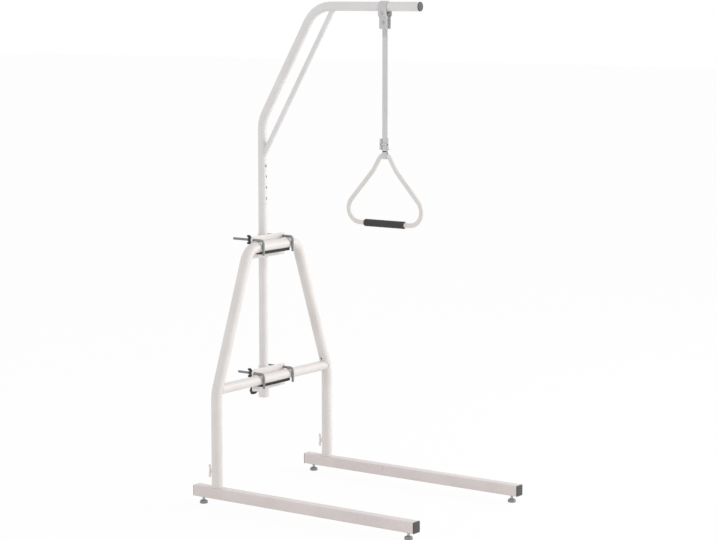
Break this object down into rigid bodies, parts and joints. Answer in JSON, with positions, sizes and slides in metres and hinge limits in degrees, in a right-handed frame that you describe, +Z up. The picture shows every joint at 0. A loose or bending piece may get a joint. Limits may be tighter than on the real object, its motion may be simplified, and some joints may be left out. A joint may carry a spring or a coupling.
{
  "type": "freestanding trapeze",
  "caption": "Floor stand for a hanging grip: floor legs, A-frame, clamped mast and height-adjustable cranked boom with a sliding hanger, strap and triangular handle",
  "frame": {"origin": "On the floor under the middle of the bounding box", "axes": "+X from the A-frame to the front ends of the legs, +Y to the far leg, +Z up"},
  "size_m": [0.937, 0.6712, 1.7216],
  "materials": {
    "light_grey_paint": "satin",
    "plate_paint": "satin",
    "zinc_plated_steel": "plated",
    "plated_rod": "plated",
    "spring_steel": "plain",
    "black_plastic": "moulded",
    "grey_plastic": "moulded",
    "black_rubber": "matt",
    "webbing": "woven"
  },
  "bodies": {
    "stand": {"leg_near": "light_grey_paint", "leg_far": "light_grey_paint", "leg_plug_front_near": "black_plastic", "leg_plug_front_far": "black_plastic", "leg_plug_rear_near": "black_plastic", "leg_plug_rear_far": "black_plastic", "leg_spigot_near": "zinc_plated_steel", "leg_spigot_far": "zinc_plated_steel", "upright_boss_near": "light_grey_paint", "upright_boss_far": "light_grey_paint", "a_frame_tube": "light_grey_paint", "cross_tube": "light_grey_paint", "upper_mast_sleeve": "plate_paint", "upper_bracket_plate": "plate_paint", "upper_saddle_pad": "black_rubber", "hook_washer_upper_near": "zinc_plated_steel", "hook_washer_upper_far": "zinc_plated_steel", "lower_mast_sleeve": "plate_paint", "lower_bracket_plate": "plate_paint", "lower_saddle_pad": "black_rubber", "hook_washer_lower_near": "zinc_plated_steel", "hook_washer_lower_far": "zinc_plated_steel", "mast_tube": "light_grey_paint", "mast_spigot": "zinc_plated_steel"},
    "glide_rear_near": {"glide_foot_rear_near": "grey_plastic"},
    "glide_rear_far": {"glide_foot_rear_far": "grey_plastic"},
    "glide_front_near": {"glide_foot_front_near": "grey_plastic"},
    "glide_front_far": {"glide_foot_front_far": "grey_plastic"},
    "upright_lock_near": {"upright_screw_near": "zinc_plated_steel"},
    "upright_lock_far": {"upright_screw_far": "zinc_plated_steel"},
    "mast_lock": {"mast_lock_knob": "black_plastic", "mast_lock_stud": "zinc_plated_steel"},
    "hook_upper_near": {"hook_bolt_upper_near": "plated_rod"},
    "wing_nut_upper_near": {"wing_nut_upper_near": "black_plastic"},
    "hook_upper_far": {"hook_bolt_upper_far": "plated_rod"},
    "wing_nut_upper_far": {"wing_nut_upper_far": "black_plastic"},
    "hook_lower_near": {"hook_bolt_lower_near": "plated_rod"},
    "wing_nut_lower_near": {"wing_nut_lower_near": "black_plastic"},
    "hook_lower_far": {"hook_bolt_lower_far": "plated_rod"},
    "wing_nut_lower_far": {"wing_nut_lower_far": "black_plastic"},
    "button": {"snap_button": "spring_steel"},
    "boom": {"boom_tube": "light_grey_paint", "boom_brace": "light_grey_paint", "boom_plug": "black_plastic"},
    "hanger": {"hanger_saddle": "light_grey_paint", "saddle_bolt": "plated_rod", "saddle_nut": "zinc_plated_steel", "ring_bolt": "plated_rod", "ring_nut": "zinc_plated_steel"},
    "ring": {"hanger_ring": "plated_rod"},
    "strap": {"hanging_strap": "webbing"},
    "slide": {"strap_slide": "zinc_plated_steel"},
    "handle": {"handle_frame": "light_grey_paint", "handle_grip": "black_rubber"}
  },
  "joints": [
    {"name": "glide_rear_near_turn", "type": "hinge", "parent": "stand", "child": "glide_rear_near", "pos_m": [-0.4195, -0.3165, 0.0125], "axis": [0, 0, 1], "continuous": true},
    {"name": "glide_rear_far_turn", "type": "hinge", "parent": "stand", "child": "glide_rear_far", "pos_m": [-0.4195, 0.3165, 0.0125], "axis": [0, 0, 1], "continuous": true},
    {"name": "glide_front_near_turn", "type": "hinge", "parent": "stand", "child": "glide_front_near", "pos_m": [0.4365, -0.3165, 0.0125], "axis": [0, 0, 1], "continuous": true},
    {"name": "glide_front_far_turn", "type": "hinge", "parent": "stand", "child": "glide_front_far", "pos_m": [0.4365, 0.3165, 0.0125], "axis": [0, 0, 1], "continuous": true},
    {"name": "upright_lock_near_turn", "type": "hinge", "parent": "stand", "child": "upright_lock_near", "pos_m": [-0.3589, -0.3165, 0.1176], "axis": [-1, 0, 0], "range_deg": [0, 1440]},
    {"name": "upright_lock_far_turn", "type": "hinge", "parent": "stand", "child": "upright_lock_far", "pos_m": [-0.3589, 0.3165, 0.1176], "axis": [-1, 0, 0], "range_deg": [0, 1440]},
    {"name": "mast_lock_turn", "type": "hinge", "parent": "stand", "child": "mast_lock", "pos_m": [-0.4024, 0, 0.344], "axis": [-1, 0, 0], "range_deg": [0, 1080]},
    {"name": "hook_upper_near_travel", "type": "slide", "parent": "stand", "child": "hook_upper_near", "axis": [1, 0, 0], "range_m": [0, 0.01]},
    {"name": "wing_nut_upper_near_turn", "type": "hinge", "parent": "stand", "child": "wing_nut_upper_near", "pos_m": [-0.3845, -0.083, 0.89485], "axis": [-1, 0, 0], "range_deg": [0, 2881]},
    {"name": "hook_upper_far_travel", "type": "slide", "parent": "stand", "child": "hook_upper_far", "axis": [1, 0, 0], "range_m": [0, 0.01]},
    {"name": "wing_nut_upper_far_turn", "type": "hinge", "parent": "stand", "child": "wing_nut_upper_far", "pos_m": [-0.3845, 0.083, 0.89485], "axis": [-1, 0, 0], "range_deg": [0, 2881]},
    {"name": "hook_lower_near_travel", "type": "slide", "parent": "stand", "child": "hook_lower_near", "axis": [1, 0, 0], "range_m": [0, 0.01]},
    {"name": "wing_nut_lower_near_turn", "type": "hinge", "parent": "stand", "child": "wing_nut_lower_near", "pos_m": [-0.3845, -0.083, 0.42425], "axis": [-1, 0, 0], "range_deg": [0, 2881]},
    {"name": "hook_lower_far_travel", "type": "slide", "parent": "stand", "child": "hook_lower_far", "axis": [1, 0, 0], "range_m": [0, 0.01]},
    {"name": "wing_nut_lower_far_turn", "type": "hinge", "parent": "stand", "child": "wing_nut_lower_far", "pos_m": [-0.3845, 0.083, 0.42425], "axis": [-1, 0, 0], "range_deg": [0, 2881]},
    {"name": "button_press", "type": "slide", "parent": "stand", "child": "button", "axis": [-1, 0, 0], "range_m": [0, 0.005], "stiffness_N_per_m": 800, "springref_m": -0.003, "deforming": ["snap_button"]},
    {"name": "boom_height", "type": "slide", "parent": "stand", "child": "boom", "axis": [0, 0, 1], "range_m": [0, 0.1143], "deforming": ["snap_button"]},
    {"name": "hanger_travel", "type": "slide", "parent": "boom", "child": "hanger", "axis": [1, 0, 0], "range_m": [-0.1, 0.09]},
    {"name": "ring_swing", "type": "hinge", "parent": "hanger", "child": "ring", "pos_m": [0.1195, 0, 1.6494], "axis": [0, 1, 0], "range_deg": [-60, 20]},
    {"name": "strap_swing", "type": "hinge", "parent": "ring", "child": "strap", "pos_m": [0.1195, 0, 1.6344], "axis": [1, 0, 0], "range_deg": [-30, 30]},
    {"name": "slide_travel", "type": "slide", "parent": "strap", "child": "slide", "axis": [0, 0, 1], "range_m": [0, 0.25]},
    {"name": "handle_tilt", "type": "hinge", "parent": "strap", "child": "handle", "pos_m": [0.1195, 0, 1.2038], "axis": [1, 0, 0], "range_deg": [-90, 90]}
  ],
  "couplings": [
    {"joint": "wing_nut_upper_near_turn", "follows": "hook_upper_near_travel", "rad_per_m": 5026.5},
    {"joint": "wing_nut_upper_far_turn", "follows": "hook_upper_far_travel", "rad_per_m": 5026.5},
    {"joint": "wing_nut_lower_near_turn", "follows": "hook_lower_near_travel", "rad_per_m": 5026.5},
    {"joint": "wing_nut_lower_far_turn", "follows": "hook_lower_far_travel", "rad_per_m": 5026.5}
  ]
}
